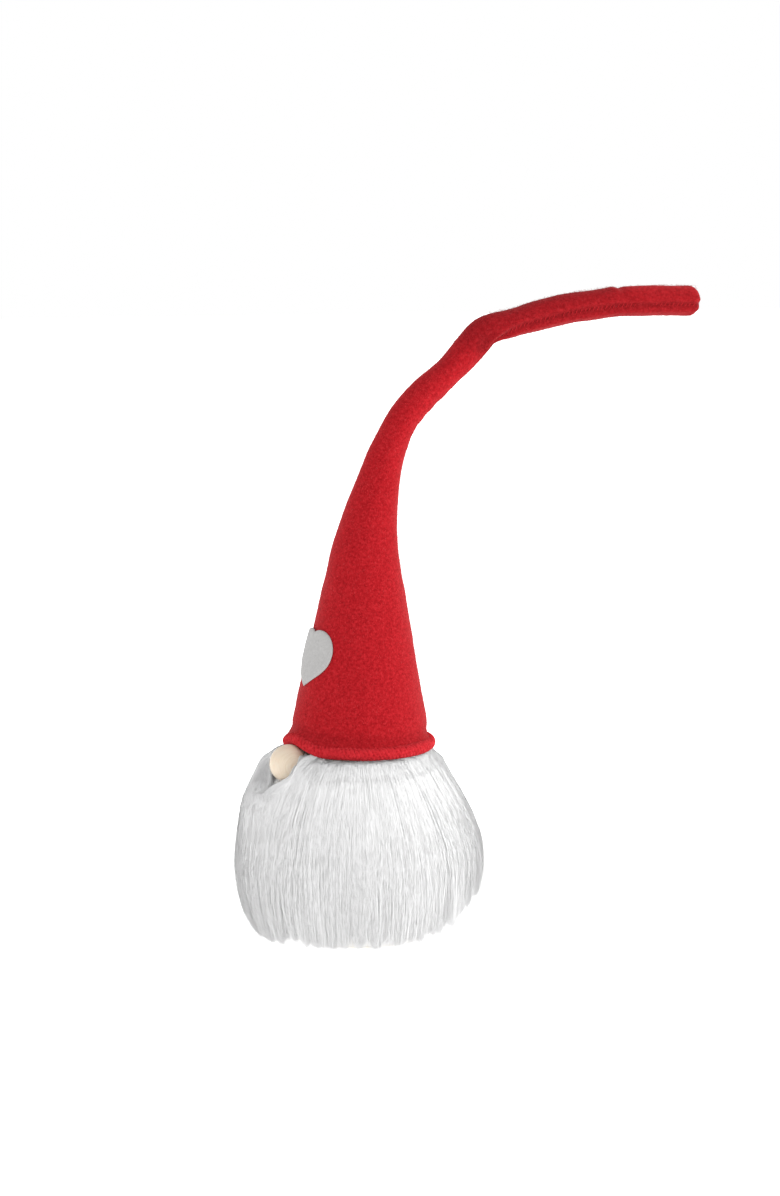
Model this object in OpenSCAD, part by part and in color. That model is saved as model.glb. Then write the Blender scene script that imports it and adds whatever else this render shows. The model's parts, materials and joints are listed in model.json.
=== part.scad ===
// Gnome figurine: a weighted cloth sack inside a long-pile fur cover, with a bead nose,
// under a tall felt hat that a wire inside keeps in the bends it is given by hand.
// Millimetres, +Z up, the face looks along -Y, origin at the centre of the base on the ground.

/* [Body sack] */
// Radius of the sack's flat foot
foot_r = 45; // [42:0.5:45]
// How far the sack's side bulges beyond a straight line
belly = 5; // [2:0.5:6]
// Height of the sack's shoulder
shoulder_z = 118; // [112:1:118]
// Radius of the sack at its shoulder
shoulder_r = 36.5; // [35:0.5:36.5]
// Height at which the sack is gathered shut
gather_z = 134; // [131:1:135]
// Radius of the gathered neck of the sack
gather_r = 7; // [5:0.5:8]
// Thickness of the sack cloth
cloth_t = 1.5; // [1:0.1:2]
// Thickness of the cover under the foot
cover_t = 1.2; // [0.8:0.1:1.3]
// Thickness of the card that stiffens the foot
card_t = 2; // [1:0.5:3]

/* [Ballast] */
// Radius of the pellet bag's foot
ballast_r = 34; // [25:1:36]
// Height of the pellet bag above the card
ballast_h = 31; // [24:1:36]

/* [Fur] */
// Radius of the fur at its fullest
fur_r = 81.5; // [76:0.5:84]
// Height at which the fur is fullest
fur_belly_z = 42; // [36:1:50]
// Radius of the fur where it leaves the brim
fur_top_r = 50; // [48:0.5:54]
// Height of the fur's top edge
fur_top_z = 121.8; // [120:0.2:122]
// Radius of the fur's lower fringe
fur_foot_r = 70; // [66:0.5:76]
// Height of the tips of the fringe
fur_foot_z = 3; // [2:0.5:6]
// Thickness of the knitted backing that holds the pile
backing_t = 1.2; // [0.8:0.1:1.5]

/* [Nose] */
// Diameter of the wooden bead
nose_d = 25; // [22:0.5:26]
// Distance of the bead's centre from the axis of the body
nose_out = 50.5; // [50.5:0.5:55]
// Height of the bead's centre
nose_z = 117; // [114:0.5:117]
// Turn of the bead round the body from the middle of the front towards +X, in degrees
nose_turn = 5; // [-10:1:10]

/* [Hat] */
// Radius of the hem roll's centre line
brim_r = 46; // [45:0.5:48]
// Height of the hem roll's centre line
brim_z = 126.8; // [126.5:0.1:130]
// Diameter of the hem roll
hem_d = 7; // [6:0.5:7]
// How far the nose pushes the hem up at the front
hem_lift = 6; // [5.5:0.5:8]
// Thickness of the hat felt
felt_t = 2.6; // [2:0.1:3]
// Radius of the hat at the waist, where the straight cone ends
waist_r = 22.3; // [20:0.1:24]
// Radius of the hat at its first bend
neck_r = 10; // [9:0.1:11.5]
// Radius of the hat at its second bend
elbow_r = 10.6; // [9:0.1:11.5]
// Radius of the hat's tail
tail_r = 9.9; // [9:0.1:11.5]
// Radius of the hat's end
tip_r = 10.2; // [9:0.1:11.5]
// Diameter of the wire in the hat
wire_d = 2.2; // [1.6:0.2:3]

/* [Heart] */
// Height of the felt heart, which is 1.16 times as wide
heart_h = 36.3; // [30:0.1:38]
// Height of the heart's point
heart_z = 166.8; // [160:0.2:172]
// Thickness of the heart's felt
heart_t = 1.5; // [1:0.1:2]

/* [Movement] */
// How far the hat leans to either side at its waist, in degrees
lean_range = 15; // [5:1:15]
// How far each bend of the hat opens or closes, in degrees
bend_range = 30; // [10:1:30]

/* [Hidden] */
$fn = 64;

felt_red = "#b3262c";
thread_red = "#8e1b22";
fur_white = "#e9e9e8";
backing_white = "#d8d6d0";
cloth_cream = "#e6dfcf";
heart_grey = "#bcbbb9";
bead_wood = "#dccebb";
wire_grey = "#9a9c9f";
filling_white = "#f2f0ea";

fit = 0.4;               // clearance of the filling inside the felt
close_fit = 0.1;         // clearance of pieces sewn or glued face to face
joint_gap = 0.3;         // clearance of the two sides of a bend on its axis
range_margin = 1;        // degrees that a bend's mouth is wider than its range
steps = 16;              // straight lines in a curved outline

// ---- curves -------------------------------------------------------------------------

function lerp(a, b, t) = a + (b - a) * t;
function heading(deg) = [0, cos(deg), sin(deg)];
function hermite(p0, d0, p1, d1, t) =
    (2*t*t*t - 3*t*t + 1) * p0 + (t*t*t - 2*t*t + t) * d0
    + (-2*t*t*t + 3*t*t) * p1 + (t*t*t - t*t) * d1;
function hermite_slope(p0, d0, p1, d1, t) =
    (6*t*t - 6*t) * p0 + (3*t*t - 4*t + 1) * d0 + (-6*t*t + 6*t) * p1 + (3*t*t - 2*t) * d1;

// The hat's bends: y, z, heading as the line arrives, heading as it leaves, radius.
// A heading is in degrees above +Y.
BEND = [
    [5, 250, 88, 82, waist_r],
    [33.5, 340, 57, 46, neck_r],
    [91, 392.5, 43, 18, elbow_r],
    [188, 411, 4, 3, tail_r],
    [250, 411, -2, -2, tip_r]
];
UPPER = 0;
NECK = 1;
TAIL = 2;
TIP = 3;
taper = 1.6;             // how quickly a part of the hat narrows to its next bend
sides = 24;              // sides of the felt tube
wire_sides = 8;
rings = 7;

function spot(b) = [0, BEND[b][0], BEND[b][1]];
function turn(b) = (BEND[b][2] + BEND[b][3]) / 2;
function part_length(b) = norm(spot(b + 1) - spot(b));
function leave(b) = part_length(b) * heading(BEND[b][3]);
function arrive(b) = part_length(b) * heading(BEND[b + 1][2]);
function line_at(b, t) = hermite(spot(b), leave(b), spot(b + 1), arrive(b), t);
function slope_at(b, t) =
    let (d = hermite_slope(spot(b), leave(b), spot(b + 1), arrive(b), t)) d / norm(d);
function radius_at(b, t) =
    BEND[b + 1][4] + (BEND[b][4] - BEND[b + 1][4]) * pow(max(0, 1 - t), taper);
// A point beside the hat's line: turned by phi from +X, phi 90 being its front or top
function beside(b, t, r, phi) =
    let (d = slope_at(b, t)) line_at(b, t) + r * [cos(phi), -d.z * sin(phi), d.y * sin(phi)];

// Solid skin over closed rings of equal length
module skin(loops) {
    n = len(loops[0]);
    last = len(loops) - 1;
    points = [for (loop = loops) each loop];
    walls = [for (i = [0 : last - 1], j = [0 : n - 1])
        let (k = (j + 1) % n) [i*n + j, i*n + k, (i + 1)*n + k, (i + 1)*n + j]];
    near_end = [for (j = [n - 1 : -1 : 0]) j];
    far_end = [for (j = [0 : n - 1]) last*n + j];
    polyhedron(points, concat([near_end, far_end], walls), convexity = 6);
}

// The stretch t0 to t1 of one part of the hat, inset from the felt's outer face
module hat_stretch(b, t0, t1, inset) {
    skin([for (i = [0 : rings]) let (t = lerp(t0, t1, i / rings))
        [for (j = [0 : sides - 1]) beside(b, t, radius_at(b, t) - inset, 360 * j / sides)]]);
}

// ---- joints of the hat ----------------------------------------------------------------

// Local X is the hinge axis and local Y runs along the hat
module at_bend(b) {
    translate(spot(b)) rotate(b == UPPER ? [90, 0, 90] : [turn(b), 0, 0]) children();
}

// Everything on one side of a bend: side 1 is towards the tip, -1 towards the brim
module side_of_bend(b, side) {
    reach = 150;
    range = b == UPPER ? lean_range : bend_range;
    mouth = joint_gap / 2 + reach * tan(range / 2 + range_margin);
    at_bend(b) rotate([90, 0, 90]) linear_extrude(2 * reach, center = true)
        polygon([[side * joint_gap / 2, 0], [side * mouth, reach], [side * 2 * reach, reach],
                 [side * 2 * reach, -reach], [side * mouth, -reach]]);
}

function filling_r(b) = BEND[b][4] - felt_t - fit;
function knuckle_r(b) = 0.7 * filling_r(b);

// Round end of the filling, which the next part turns about
module knuckle(b, clearance = 0) {
    at_bend(b) rotate([0, 90, 0])
        cylinder(r = knuckle_r(b) + clearance, h = 1.2 * filling_r(b) + 2 * clearance,
                 center = true);
}

// ---- outlines of the body -------------------------------------------------------------

// Half outline of a filled bag on a flat foot, gathered at the top; inset moves it inwards
function bag_side_r(foot, bulge, z0, z1, r1, z) =
    let (t = (z - z0) / (z1 - z0)) lerp(foot, r1, t) + bulge * sin(180 * t);
function bag_outline(foot, bulge, z0, z1, r1, top_z, neck, inset) = concat(
    [[0, z0 + inset], [foot - inset, z0 + inset]],
    [for (i = [1 : steps]) let (z = lerp(z0, z1, i / steps))
        [bag_side_r(foot, bulge, z0, z1, r1, z) - inset, z]],
    [for (i = [1 : steps / 2]) let (a = 180 * i / steps)
        [neck + (r1 - inset - neck) * cos(a), z1 + (top_z - inset - z1) * sin(a)]]);

sack_z = cover_t + close_fit;
card_z = sack_z + cloth_t + close_fit;
ballast_z = card_z + card_t + close_fit;
ballast_top_z = ballast_z + ballast_h;
ballast_cloth_t = 1;
ballast_neck_r = 5;
sack_neck_h = 10;
cord_r = 0.9;

function sack_r(z) = bag_side_r(foot_r, belly, sack_z, shoulder_z, shoulder_r, z);
function sack_outline(inset, neck) =
    bag_outline(foot_r, belly, sack_z, shoulder_z, shoulder_r, gather_z, neck, inset);
function ballast_outline(inset, neck) =
    bag_outline(ballast_r, 3, ballast_z, ballast_z + 0.6 * ballast_h, ballast_r - 2,
                ballast_top_z, neck, inset);
function fur_outer_r(z) = z > fur_belly_z
    ? fur_r - (fur_r - fur_top_r) * pow((z - fur_belly_z) / (fur_top_z - fur_belly_z), 2.7)
    : fur_r - (fur_r - fur_foot_r) * pow((fur_belly_z - z) / (fur_belly_z - fur_foot_z), 2);

// ---- body -----------------------------------------------------------------------------

module base_cover() {
    color(cloth_cream) cylinder(r = foot_r, h = cover_t);
}

module foot_card() {
    color("#b59a72") translate([0, 0, card_z])
        cylinder(r = foot_r - cloth_t - 1, h = card_t);
}

module ballast_body(inset) {
    rotate_extrude() polygon(ballast_outline(inset, 0));
}

module ballast_bag() {
    color(cloth_cream) difference() {
        union() {
            rotate_extrude() polygon(concat(ballast_outline(0, ballast_neck_r),
                                            [[0, ballast_top_z]]));
            translate([0, 0, ballast_top_z - 1]) cylinder(r = ballast_neck_r, h = 8);
        }
        ballast_body(ballast_cloth_t);
    }
}

module ballast_pellets() {
    color("#c9c4b8") ballast_body(ballast_cloth_t + close_fit);
}

// A cord wound once round a gathered neck
module neck_cord(r, z) {
    translate([0, 0, z]) rotate_extrude() translate([r + cord_r + close_fit, 0]) circle(cord_r);
}

module ballast_tie() {
    color("#c7b28a") neck_cord(ballast_neck_r, ballast_top_z + 3);
}

module body_sack() {
    color(cloth_cream) difference() {
        union() {
            rotate_extrude() polygon(concat(sack_outline(0, gather_r), [[0, gather_z]]));
            translate([0, 0, gather_z - 1]) cylinder(r = gather_r, h = sack_neck_h + 1);
        }
        rotate_extrude() polygon(sack_outline(cloth_t, 0));
    }
}

module body_stuffing() {
    color(filling_white) difference() {
        rotate_extrude() polygon(sack_outline(cloth_t + fit, 0));
        cylinder(r = foot_r + belly, h = ballast_z);
        rotate_extrude() polygon(concat(ballast_outline(-fit, ballast_neck_r + 2 * cord_r + fit),
                                        [[0, ballast_top_z + fit]]));
        cylinder(r = ballast_neck_r + 2 * cord_r + fit, h = ballast_top_z + 8);
    }
}

module sack_tie() {
    color("#c7b28a") neck_cord(gather_r, gather_z + sack_neck_h / 2);
}

// ---- fur cover ------------------------------------------------------------------------

backing_z0 = fur_foot_z + 3;
backing_z1 = shoulder_z;
backing_slit = 1.6;      // degrees left open at the back for the closing seam
pad_r = 6;

module backing_band(clearance, thickness) {
    zs = [for (i = [0 : steps]) lerp(backing_z0, backing_z1, i / steps)];
    polygon(concat([for (z = zs) [sack_r(z) + clearance, z]],
                   [for (i = [steps : -1 : 0]) [sack_r(zs[i]) + clearance + thickness, zs[i]]]));
}

module fur_backing() {
    color(backing_white) difference() {
        rotate([0, 0, 90 + backing_slit / 2]) rotate_extrude(angle = 360 - backing_slit)
            backing_band(close_fit, backing_t);
        nose_hole(pad_r + fit);
    }
}

module fur_seam_thread() {
    width = backing_slit / 2;
    color("#f5f5f2") rotate([0, 0, 90 - width / 2]) rotate_extrude(angle = width)
        backing_band(2 * close_fit, backing_t / 2);
}

module at_nose() {
    rotate([0, 0, nose_turn]) translate([0, -nose_out, nose_z]) children();
}

module nose_hole(r) {
    at_nose() rotate([-90, 0, 0]) cylinder(r = r, h = nose_out / 2);
}

module fur_pile() {
    inner = close_fit * 2 + backing_t;
    parting = 2;         // the pile is parted this far round the pad behind the nose
    top_inner_r = sack_r(shoulder_z) + inner;
    outer = [for (i = [0 : steps]) let (z = lerp(fur_foot_z, fur_top_z, i / steps))
        [fur_outer_r(z), z]];
    inside = [for (i = [0 : steps]) let (z = lerp(backing_z1, fur_foot_z, i / steps))
        [sack_r(z) + inner, z]];
    color(fur_white) difference() {
        rotate_extrude() polygon(concat(outer, [[top_inner_r, fur_top_z]], inside));
        at_nose() sphere(r = nose_d / 2 + fit);
        nose_hole(pad_r + parting);
    }
}

// ---- nose -----------------------------------------------------------------------------

module nose_bead() {
    color(bead_wood) at_nose() sphere(r = nose_d / 2);
}

module nose_glue() {
    back_y = sack_r(nose_z - pad_r) + close_fit;
    color("#e8dcc0") at_nose() difference() {
        rotate([-90, 0, 0]) cylinder(r = pad_r, h = nose_out - back_y);
        sphere(r = nose_d / 2 + close_fit / 2);
    }
}

// ---- cone of the hat ------------------------------------------------------------------

cone_y = 1;
cone_z = 122;
cone_flare = 0.2;        // radius gained for each millimetre down from the waist
cone_dir = spot(UPPER) - [0, cone_y, cone_z];
cone_h = norm(cone_dir);
cone_tilt = atan2(cone_dir.y, cone_dir.z);
hem_r = hem_d / 2;
hem_parts = 48;
hem_sides = 10;
lift_spread = 20;        // degrees over which the lifted hem falls back

function cone_r(h) = waist_r + cone_flare * (cone_h - h);
function hem_z(a) = brim_z + hem_lift * exp(-pow((a - nose_turn) / lift_spread, 2));
function hem_angle(i) = -180 + 360 * i / hem_parts;

// Local Z runs up the middle of the cone from just under the brim
module on_cone() {
    translate([0, cone_y, cone_z]) rotate([-cone_tilt, 0, 0]) children();
}

module cone_solid(inset, h0, h1) {
    translate([0, 0, h0])
        cylinder(r1 = cone_r(h0) - inset, r2 = cone_r(h1) - inset, h = h1 - h0);
}

// Ring with a vertical cross-section through each angle; shape gives [outwards, up] points
module ring_round_brim(shape) {
    n = len(shape);
    points = [for (i = [0 : hem_parts - 1], p = shape) let (a = hem_angle(i), r = brim_r + p[0])
        [r * sin(a), cone_y - r * cos(a), hem_z(a) + p[1]]];
    faces = [for (i = [0 : hem_parts - 1], j = [0 : n - 1])
        let (i2 = (i + 1) % hem_parts, j2 = (j + 1) % n)
        [i*n + j, i*n + j2, i2*n + j2, i2*n + j]];
    polyhedron(points, faces, convexity = 8);
}

module hat_hem() {
    color(felt_red) ring_round_brim([for (j = [0 : hem_sides - 1])
        let (e = 360 * j / hem_sides) hem_r * [cos(e), sin(e)]]);
}

module hat_cone_felt() {
    below = 40;
    beyond = 10;
    color(felt_red) difference() {
        intersection() {
            on_cone() cone_solid(0, 2, cone_h + 2);
            side_of_bend(UPPER, -1);
        }
        on_cone() cone_solid(felt_t, 1, cone_h + 3);
        ring_round_brim([[-beyond, hem_r + close_fit], [-beyond, -below],
                         [beyond, -below], [beyond, hem_r + close_fit]]);
    }
}

module hem_stitches() {
    count = 40;
    thread_r = 0.35;
    slant = 20;
    arc = 130;
    color(thread_red) for (i = [0 : count - 1]) {
        a = 360 * (i + 0.5) / count - 180;
        translate([brim_r * sin(a), cone_y - brim_r * cos(a), hem_z(a)])
            rotate([0, 0, a - 90]) rotate([slant, 0, 0]) rotate([90, 0, 0])
            rotate([0, 0, -arc / 2]) rotate_extrude(angle = arc, $fn = 32)
            translate([hem_r + 0.75, 0]) circle(thread_r, $fn = 16);
    }
}

stitch_r = 0.35;
stitch_l = 3.2;
stitch_pitch = 6;
stitch_out = 0.75;       // height of a stitch's middle above the felt

module stitch() {
    cylinder(r = stitch_r, h = stitch_l, center = true, $fn = 16);
}

module cone_seam_thread() {
    flare_angle = atan(cone_flare);
    color(thread_red) on_cone() for (h = [14 : stitch_pitch : cone_h - 6])
        translate([0, cone_r(h) + stitch_out, h]) rotate([flare_angle, 0, 0]) stitch();
}

wire_r = wire_d / 2;
foot_loop_r = 12;
foot_loop_h = 42;

// The wire's straight stem and the loop it stands on
module cone_wire_shape(clearance) {
    on_cone() {
        translate([0, 0, foot_loop_h])
            cylinder(r = wire_r + clearance, h = cone_h - foot_loop_h + clearance);
        translate([foot_loop_r, 0, foot_loop_h]) rotate_extrude()
            translate([foot_loop_r, 0]) circle(wire_r + clearance, $fn = 32);
    }
}

module cone_wire() {
    color(wire_grey) cone_wire_shape(0);
}

module cone_stuffing() {
    h0 = gather_z - cone_z + 2;
    neck_room_h = gather_z + sack_neck_h - cone_z + 2;
    color(filling_white) difference() {
        union() {
            intersection() {
                on_cone() cone_solid(felt_t + fit, h0, cone_h);
                side_of_bend(UPPER, -1);
            }
            knuckle(UPPER);
        }
        on_cone() cylinder(r = gather_r + 2 * cord_r + 2, h = neck_room_h);
        cone_wire_shape(close_fit);
    }
}

// ---- heart ----------------------------------------------------------------------------

module heart_shape(h) {
    for (side = [-1, 1])
        hull() {
            translate([side * 0.19 * h, 0.592 * h]) scale([0.391, 0.408]) circle(h, $fn = 32);
            circle(0.4, $fn = 16);
        }
}

module on_cone_front(h, z, gap, thickness) {
    intersection() {
        on_cone() difference() {
            cone_solid(-gap - thickness, 20, cone_h - 20);
            cone_solid(-gap, 19, cone_h - 19);
        }
        translate([0, 0, z]) rotate([90, 0, 0]) linear_extrude(brim_r + hem_d) heart_shape(h);
    }
}

module heart_patch() {
    color(heart_grey) on_cone_front(heart_h, heart_z, 0.4, heart_t);
}

module heart_glue() {
    edge = 3;
    color("#d9d4c8") on_cone_front(heart_h - 2 * edge, heart_z + edge, close_fit, 0.2);
}

// ---- upper hat, neck, tail and tip ----------------------------------------------------

cap_t = 3;
tip_loop_r = 3;
function end_t(b) = b == TIP ? 1 - cap_t / part_length(TIP) : 1;
function start_t(b) = b == UPPER ? -0.06 : 0;
// The seam runs up the back of the cone and turns to the +X side along the tail
function seam_phi(b, t) = b == UPPER ? -90 : b == NECK ? lerp(-90, -16, t) : -16;

module between_bends(b) {
    intersection() {
        children();
        side_of_bend(b, 1);
        if (b < TIP) side_of_bend(b + 1, -1);
        else side_of_bend(b, 1);
    }
}

module felt_tube(b) {
    over = 0.02;
    color(felt_red) between_bends(b) difference() {
        hat_stretch(b, start_t(b), end_t(b), 0);
        hat_stretch(b, start_t(b) - over, end_t(b) + over, felt_t);
    }
}

// First and last place of the wire in one part, along its line
function wire_t0(b) = (knuckle_r(b) + joint_gap + 1.5) / part_length(b);
function wire_t1(b) = b == TIP
    ? 1 - (cap_t + 2 * (tip_loop_r + wire_d)) / part_length(TIP) : 1;

module wire_run(b, clearance) {
    e0 = clearance == 0 ? 0 : 2.5 / part_length(b);
    e1 = clearance / part_length(b);
    skin([for (i = [0 : rings]) let (t = lerp(wire_t0(b) - e0, wire_t1(b) + e1, i / rings))
        [for (j = [0 : wire_sides - 1]) beside(b, t, wire_r + clearance, 360 * j / wire_sides)]]);
}

// Closed loop at the wire's last end, flat in the plane of the bends
module tip_loop(clearance) {
    translate(line_at(TIP, wire_t1(TIP)) + tip_loop_r * slope_at(TIP, 1)) rotate([0, 90, 0])
        rotate_extrude($fn = 32) translate([tip_loop_r, 0]) circle(wire_r + clearance, $fn = 16);
}

module wire_part(b) {
    color(wire_grey) {
        wire_run(b, 0);
        if (b == TIP) tip_loop(0);
    }
}

module stuffing(b) {
    inner_end = b == TIP ? end_t(b) - fit / part_length(b) : 1;
    color(filling_white) difference() {
        union() {
            between_bends(b) hat_stretch(b, start_t(b), inner_end, felt_t + fit);
            if (b < TIP) knuckle(b + 1);
        }
        knuckle(b, joint_gap);
        wire_run(b, close_fit);
        if (b == TIP) tip_loop(close_fit);
    }
}

module seam_stitches(b) {
    length = part_length(b);
    clear = knuckle_r(b) + 2;
    count = floor((length - 2 * clear) / stitch_pitch);
    color(thread_red) for (i = [0 : count]) {
        t = (clear + i * stitch_pitch) / length;
        d = slope_at(b, t);
        translate(beside(b, t, radius_at(b, t) + stitch_out, seam_phi(b, t)))
            rotate([atan2(d.z, d.y) - 90, 0, 0]) stitch();
    }
}

module hat_upper_felt() { felt_tube(UPPER); }
module upper_seam_thread() { seam_stitches(UPPER); }
module upper_stuffing() { stuffing(UPPER); }
module upper_wire() { wire_part(UPPER); }
module hat_neck_felt() { felt_tube(NECK); }
module neck_seam_thread() { seam_stitches(NECK); }
module neck_stuffing() { stuffing(NECK); }
module neck_wire() { wire_part(NECK); }
module hat_tail_felt() { felt_tube(TAIL); }
module tail_seam_thread() { seam_stitches(TAIL); }
module tail_stuffing() { stuffing(TAIL); }
module tail_wire() { wire_part(TAIL); }
module hat_tip_felt() { felt_tube(TIP); }
module tip_seam_thread() { seam_stitches(TIP); }
module tip_stuffing() { stuffing(TIP); }
module tip_wire() { wire_part(TIP); }

// Local Z points out of the hat's end
module at_end(back) {
    translate(spot(TIP + 1) - back * heading(turn(TIP + 1)))
        rotate([turn(TIP + 1) - 90, 0, 0]) children();
}

module tip_cap() {
    color(felt_red) at_end(cap_t - close_fit) rotate_extrude() {
        square([tip_r - cap_t, cap_t - close_fit]);
        intersection() {
            translate([tip_r - cap_t, 0]) circle(cap_t - close_fit);
            translate([tip_r - cap_t, 0]) square(cap_t);
        }
    }
}

module tip_cap_stitches() {
    count = 12;
    color(thread_red) at_end(cap_t) for (i = [0 : count - 1])
        rotate([0, 0, 360 * i / count]) translate([tip_r + stitch_out, 0, 0]) stitch();
}

base_cover();
foot_card();
ballast_bag();
ballast_pellets();
ballast_tie();
body_sack();
body_stuffing();
sack_tie();
fur_backing();
fur_seam_thread();
fur_pile();
nose_bead();
nose_glue();
hat_cone_felt();
hat_hem();
hem_stitches();
cone_seam_thread();
cone_stuffing();
cone_wire();
heart_patch();
heart_glue();
hat_upper_felt();
upper_seam_thread();
upper_stuffing();
upper_wire();
hat_neck_felt();
neck_seam_thread();
neck_stuffing();
neck_wire();
hat_tail_felt();
tail_seam_thread();
tail_stuffing();
tail_wire();
hat_tip_felt();
tip_seam_thread();
tip_stuffing();
tip_wire();
tip_cap();
tip_cap_stitches();
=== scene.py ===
"""Soft gnome figurine with a tall felt hat, long white fur and a bead nose.

Shapes are worked out in millimetres (+Z up, face along -Y) and made in metres.
"""
import json
from math import acos, atan2, cos, pi, radians, sin, sqrt

import bpy
import numpy as np
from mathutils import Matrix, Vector, noise


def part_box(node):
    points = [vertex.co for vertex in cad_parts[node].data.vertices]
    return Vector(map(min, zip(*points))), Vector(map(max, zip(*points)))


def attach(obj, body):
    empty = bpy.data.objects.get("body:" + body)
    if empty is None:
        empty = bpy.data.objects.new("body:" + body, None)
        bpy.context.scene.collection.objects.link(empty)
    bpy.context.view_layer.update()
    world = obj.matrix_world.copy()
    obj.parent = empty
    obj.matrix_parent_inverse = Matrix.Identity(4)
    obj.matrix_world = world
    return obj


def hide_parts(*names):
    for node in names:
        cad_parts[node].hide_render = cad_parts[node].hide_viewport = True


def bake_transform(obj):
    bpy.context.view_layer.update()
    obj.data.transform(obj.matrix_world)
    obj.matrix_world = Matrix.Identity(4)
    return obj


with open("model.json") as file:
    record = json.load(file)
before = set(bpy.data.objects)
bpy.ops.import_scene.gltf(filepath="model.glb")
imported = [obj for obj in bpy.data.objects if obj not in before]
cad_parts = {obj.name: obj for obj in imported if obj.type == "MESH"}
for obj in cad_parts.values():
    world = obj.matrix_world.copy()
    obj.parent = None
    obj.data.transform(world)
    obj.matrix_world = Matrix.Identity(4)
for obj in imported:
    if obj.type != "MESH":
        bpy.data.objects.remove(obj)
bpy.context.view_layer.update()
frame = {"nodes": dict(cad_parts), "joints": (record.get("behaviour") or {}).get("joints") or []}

MM = 0.001
TURN = 2 * pi
rng = np.random.default_rng(20)


def box_mm(node):
    low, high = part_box(node)
    return np.array(low) / MM, np.array(high) / MM


def lerp(a, b, t):
    return a + (b - a) * t


def smoothstep(low, high, x):
    t = np.clip((x - low) / (high - low), 0.0, 1.0)
    return t * t * (3 - 2 * t)


def bump(x, middle, width):
    """1 at the middle, falling to 0 over a few widths."""
    return np.exp(-(((x - middle) / width) ** 2))


def unit(vectors):
    """The same directions, with length 1."""
    return vectors / (np.linalg.norm(vectors, axis=-1, keepdims=True) + 1e-9)


def wrapped(phi):
    """The same angle, between minus and plus half a turn."""
    return (phi + pi) % TURN - pi


def wrapped_degrees(phi):
    return np.degrees(wrapped(phi))


def round_axis(phi, r, z):
    """Points at angle phi from the front, positive towards +X, at radius r and height z."""
    return np.stack([r * np.sin(phi), -r * np.cos(phi), z], -1)


def distances(line):
    """Distance along a line of points to each of them."""
    return np.concatenate([[0], np.cumsum(np.linalg.norm(np.diff(line, axis=0), axis=1))])


def places(at, run, line):
    """Points at distances at on a line whose own points are at distances run."""
    return np.stack([np.interp(at, run, column) for column in line.T], -1)


def new_object(name, data):
    obj = bpy.data.objects.new(name, data)
    bpy.context.scene.collection.objects.link(obj)
    return obj


# ---- camera, light and floor ----

VIEW_AZIMUTH, VIEW_ELEVATION = 66.0, 7.5
VIEW_DISTANCE = 1.8638
VIEW_TARGET = Vector((-0.0176, 0.0310, 0.2179))
LENS, SENSOR_WIDTH = 85, 36
# one wide lamp behind the figurine, on its +X side
KEY_AZIMUTH, KEY_ELEVATION = 146, 14
KEY_DISTANCE, KEY_SIZE, KEY_POWER = 1.7, 0.9, 16.0
KEY_TARGET = Vector((0, 0.05, 0.22))
WORLD_STRENGTH = 1.0
FLOOR_HALF = 12.0
FLOOR_COLOUR = (0.16, 0.16, 0.16)
FLOOR_GLOW = 1.7
# light goes through many white hairs before it comes out again
DIFFUSE_BOUNCES, MAX_BOUNCES = 28, 32


def direction(azimuth, elevation):
    """From the object towards a viewer or lamp; azimuth 0 is in front, 90 on the +X side."""
    a, e = radians(azimuth), radians(elevation)
    return Vector((sin(a) * cos(e), -cos(a) * cos(e), sin(e)))


def aim(obj, target):
    obj.rotation_euler = (target - obj.location).to_track_quat("-Z", "Y").to_euler()


def add_camera():
    data = bpy.data.cameras.new("camera")
    data.lens = LENS
    data.sensor_width = SENSOR_WIDTH
    data.clip_end = 50
    camera = new_object("camera", data)
    camera.location = VIEW_TARGET + direction(VIEW_AZIMUTH, VIEW_ELEVATION) * VIEW_DISTANCE
    aim(camera, VIEW_TARGET)
    bpy.context.scene.camera = camera


def add_key_light():
    data = bpy.data.lights.new("key_light", "AREA")
    data.shape = "DISK"
    data.size = KEY_SIZE
    data.energy = KEY_POWER
    lamp = new_object("key_light", data)
    lamp.location = KEY_TARGET + direction(KEY_AZIMUTH, KEY_ELEVATION) * KEY_DISTANCE
    aim(lamp, KEY_TARGET)


def add_surroundings():
    scene = bpy.context.scene
    world = bpy.data.worlds.new("studio")
    world.use_nodes = True
    background = world.node_tree.nodes["Background"]
    background.inputs["Color"].default_value = (1.0, 1.0, 1.0, 1.0)
    background.inputs["Strength"].default_value = WORLD_STRENGTH
    scene.world = world
    scene.view_settings.view_transform = "Standard"
    scene.cycles.diffuse_bounces = DIFFUSE_BOUNCES
    scene.cycles.max_bounces = MAX_BOUNCES


def add_floor():
    """A light table: the floor glows, so that it stays pale right up to the object."""
    mesh = bpy.data.meshes.new("floor")
    corners = [(x * FLOOR_HALF, y * FLOOR_HALF, 0) for x, y in ((-1, -1), (1, -1), (1, 1), (-1, 1))]
    mesh.from_pydata(corners, [], [(0, 1, 2, 3)])
    mesh.materials.append(plain_material("light_table", FLOOR_COLOUR, 0.9,
                                         Emission_Color=(1.0, 1.0, 1.0),
                                         Emission_Strength=FLOOR_GLOW))
    new_object("floor", mesh)


# ---- materials ----

def srgb(r, g, b):
    """Scene-linear colour of an 8-bit screen colour."""
    return tuple(((c / 255 + 0.055) / 1.055) ** 2.4 if c > 10 else c / 255 / 12.92
                 for c in (r, g, b))


def plain_material(name, colour, roughness, **sockets):
    """Principled material with plain values; sockets name inputs with _ for a space."""
    material = bpy.data.materials.new(name)
    material.use_nodes = True
    shader = material.node_tree.nodes["Principled BSDF"]
    shader.inputs["Base Color"].default_value = (*colour, 1.0)
    shader.inputs["Roughness"].default_value = roughness
    for key, value in sockets.items():
        socket = shader.inputs[key.replace("_", " ")]
        socket.default_value = (*value, 1.0) if socket.type == "RGBA" else value
    return material


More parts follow.
